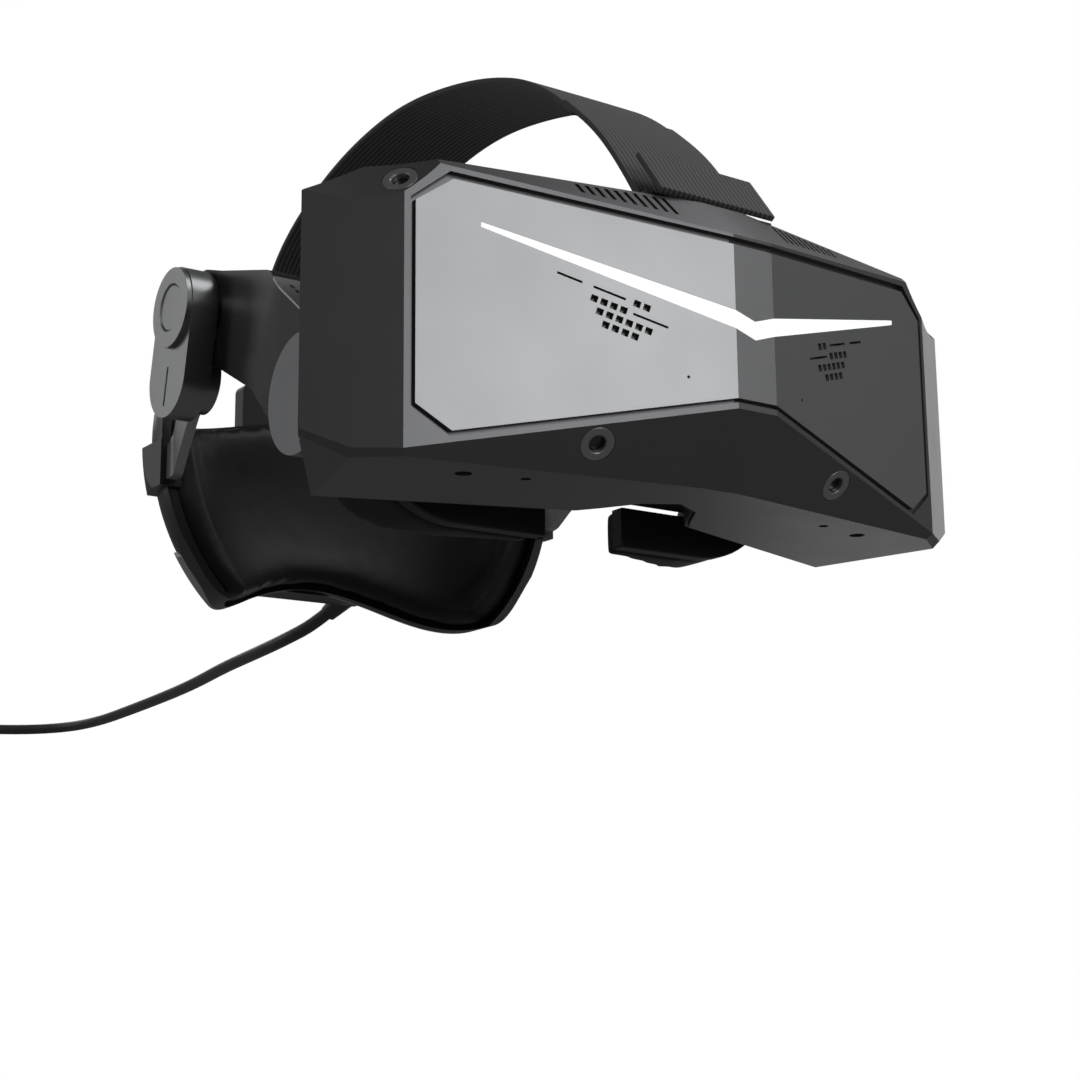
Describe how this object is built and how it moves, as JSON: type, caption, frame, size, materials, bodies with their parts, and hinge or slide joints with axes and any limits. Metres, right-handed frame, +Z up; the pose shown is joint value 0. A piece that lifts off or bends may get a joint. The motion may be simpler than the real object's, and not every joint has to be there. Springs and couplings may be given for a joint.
{
  "type": "vr headset",
  "caption": "Tethered virtual reality headset with faceted visor, tilting rigid side arms, swinging audio pods, padded rear cradle with dial, ribbed top strap and coiled cable.",
  "frame": {"origin": "on the table, under the middle of the headset, cable left out; the face cushion and the cradle's two lobes rest on Z 0", "axes": "+X to the wearer's left, +Y from the visor back to the head, +Z up"},
  "size_m": [0.302, 0.76, 0.2005],
  "materials": {
    "shell_dark": "fine moulded texture, satin, darker on the chamfers",
    "panel_satin": "satin metallic grey, softly reflective",
    "light_bar": "milky white diffuser, lit from behind",
    "grey_plastic": "smooth satin mid-grey",
    "light_grey": "light satin grey",
    "metal_steel": "machined",
    "aluminium": "anodised, fine grain",
    "glass_lens": "coated optical glass",
    "dark_glass": "polished black, glinting",
    "board": "solder-masked circuit board",
    "foam": "soft black face cushion, smooth knitted cover",
    "pad_leather": "smooth black synthetic leather",
    "webbing": "ribbed elastic webbing",
    "cable_rubber": "smooth satin grey sheath",
    "arm_plastic": "very smooth black, soft sheen"
  },
  "bodies": {
    "cradle": {"cradle_shell": "arm_plastic", "cradle_pad": "pad_leather", "cradle_trim": "light_grey", "dial_housing": "arm_plastic", "strap_anchor_rear": "arm_plastic", "top_strap": "webbing", "cable_gland": "cable_rubber", "cable": "cable_rubber", "cable_coil": "cable_rubber", "cable_tie": "webbing", "cable_plug": "cable_rubber", "plug_shell": "metal_steel"},
    "dial": {"adjust_dial": "grey_plastic", "dial_gear": "grey_plastic"},
    "headband": {"arm_left": "arm_plastic", "arm_right": "arm_plastic", "arm_trims": "light_grey", "hub_caps": "grey_plastic", "tongue_left": "light_grey", "tongue_right": "light_grey"},
    "pod_l": {"pod_left": "grey_plastic", "pod_cap_left": "light_grey", "speaker_left": "dark_glass", "speaker_grille_left": "shell_dark"},
    "pod_r": {"pod_right": "grey_plastic", "pod_cap_right": "light_grey", "speaker_right": "dark_glass", "speaker_grille_right": "shell_dark"},
    "visor": {"front_shell": "shell_dark", "front_panel": "panel_satin", "light_bar": "light_bar", "led_board": "board", "camera_bezels": "grey_plastic", "camera_modules": "dark_glass", "inner_chassis": "shell_dark", "mainboard": "board", "heat_sink": "aluminium", "blower_housing": "shell_dark", "lens_rails": "metal_steel", "ipd_motor": "metal_steel", "rear_cover": "shell_dark", "case_screws": "metal_steel", "microphones": "dark_glass", "button_switches": "board", "tilt_pins": "metal_steel", "strap_anchor_front": "arm_plastic", "strap_front": "webbing"},
    "fan": {"blower_rotor": "grey_plastic"},
    "optic_l": {"lens_barrel_left": "shell_dark", "lens_left": "glass_lens", "display_left": "dark_glass"},
    "optic_r": {"lens_barrel_right": "shell_dark", "lens_right": "glass_lens", "display_right": "dark_glass"},
    "ipd_gear": {"ipd_pinion": "grey_plastic"},
    "face_interface": {"face_frame": "shell_dark", "face_foam": "foam"},
    "power_key": {"power_button": "shell_dark"},
    "volume_up_key": {"volume_up_button": "shell_dark"},
    "volume_down_key": {"volume_down_button": "shell_dark"}
  },
  "joints": [
    {"name": "band_adjust", "type": "slide", "parent": "cradle", "child": "headband", "axis": [0, -1, 0], "range_m": [0, 0.012]},
    {"name": "dial_turn", "type": "hinge", "parent": "cradle", "child": "dial", "pos_m": [0, 0.1545, 0.058], "axis": [0, 1, 0], "range_deg": [0, 137.51]},
    {"name": "visor_tilt", "type": "hinge", "parent": "headband", "child": "visor", "pos_m": [0, -0.0865, 0.032], "axis": [1, 0, 0], "range_deg": [-8, 8]},
    {"name": "pod_left_swing", "type": "hinge", "parent": "headband", "child": "pod_l", "pos_m": [0.111, 0.0335, 0.097], "axis": [1, 0, 0], "range_deg": [0, 20]},
    {"name": "pod_right_swing", "type": "hinge", "parent": "headband", "child": "pod_r", "pos_m": [-0.111, 0.0335, 0.097], "axis": [1, 0, 0], "range_deg": [0, 20]},
    {"name": "fan_spin", "type": "hinge", "parent": "visor", "child": "fan", "pos_m": [0, -0.1455, 0.058], "axis": [0, 1, 0], "continuous": true},
    {"name": "lens_left_slide", "type": "slide", "parent": "visor", "child": "optic_l", "axis": [1, 0, 0], "range_m": [-0.0035, 0.0035]},
    {"name": "lens_right_slide", "type": "slide", "parent": "visor", "child": "optic_r", "axis": [1, 0, 0], "range_m": [-0.0035, 0.0035]},
    {"name": "ipd_turn", "type": "hinge", "parent": "visor", "child": "ipd_gear", "pos_m": [0, -0.0985, 0.09], "axis": [0, 1, 0], "range_deg": [-40.2, 40.2]},
    {"name": "face_pull", "type": "slide", "parent": "visor", "child": "face_interface", "axis": [0, 1, 0], "range_m": [0, 0.02]},
    {"name": "power_press", "type": "slide", "parent": "visor", "child": "power_key", "axis": [0, 0, -1], "range_m": [0, 0.0008], "stiffness_N_per_m": 400, "springref_m": -0.001},
    {"name": "volume_up_press", "type": "slide", "parent": "visor", "child": "volume_up_key", "axis": [0, 0, -1], "range_m": [0, 0.0008], "stiffness_N_per_m": 400, "springref_m": -0.001},
    {"name": "volume_down_press", "type": "slide", "parent": "visor", "child": "volume_down_key", "axis": [0, 0, -1], "range_m": [0, 0.0008], "stiffness_N_per_m": 400, "springref_m": -0.001}
  ],
  "couplings": [
    {"joint": "dial_turn", "follows": "band_adjust", "rad_per_m": 200},
    {"joint": "lens_right_slide", "follows": "lens_left_slide", "ratio": -1},
    {"joint": "ipd_turn", "follows": "lens_left_slide", "rad_per_m": 200}
  ]
}
